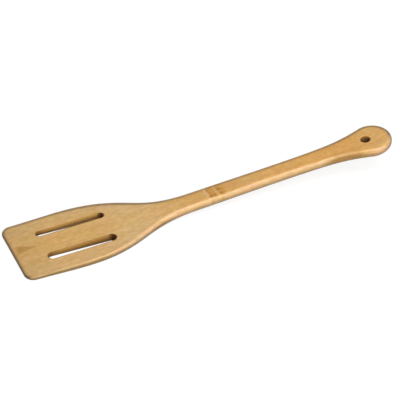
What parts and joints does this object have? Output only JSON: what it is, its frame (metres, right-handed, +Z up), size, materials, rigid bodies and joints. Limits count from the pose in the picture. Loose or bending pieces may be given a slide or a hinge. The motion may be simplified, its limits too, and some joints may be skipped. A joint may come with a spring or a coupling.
{
  "type": "slotted spatula",
  "caption": "Bamboo slotted turner of edge-glued staves: thin wedge blade with slots, shoulders drawn into a slim raised handle, and a round end with a hanging hole.",
  "frame": {"origin": "middle of the bounding box, on the flat underside of the blade", "axes": "+X from the blade tip towards the handle end, +Y towards the cook's right, +Z up from the blade's flat underside"},
  "size_m": [0.305, 0.0636, 0.0262],
  "materials": {
    "centre_bamboo": "sanded, lightly oiled bamboo",
    "inner_bamboo": "sanded, lightly oiled bamboo",
    "outer_bamboo": "sanded, lightly oiled bamboo"
  },
  "bodies": {
    "root": {"centre_stave": "centre_bamboo", "left_inner_stave": "inner_bamboo", "right_inner_stave": "inner_bamboo", "left_outer_stave": "outer_bamboo", "right_outer_stave": "outer_bamboo"}
  },
  "joints": []
}
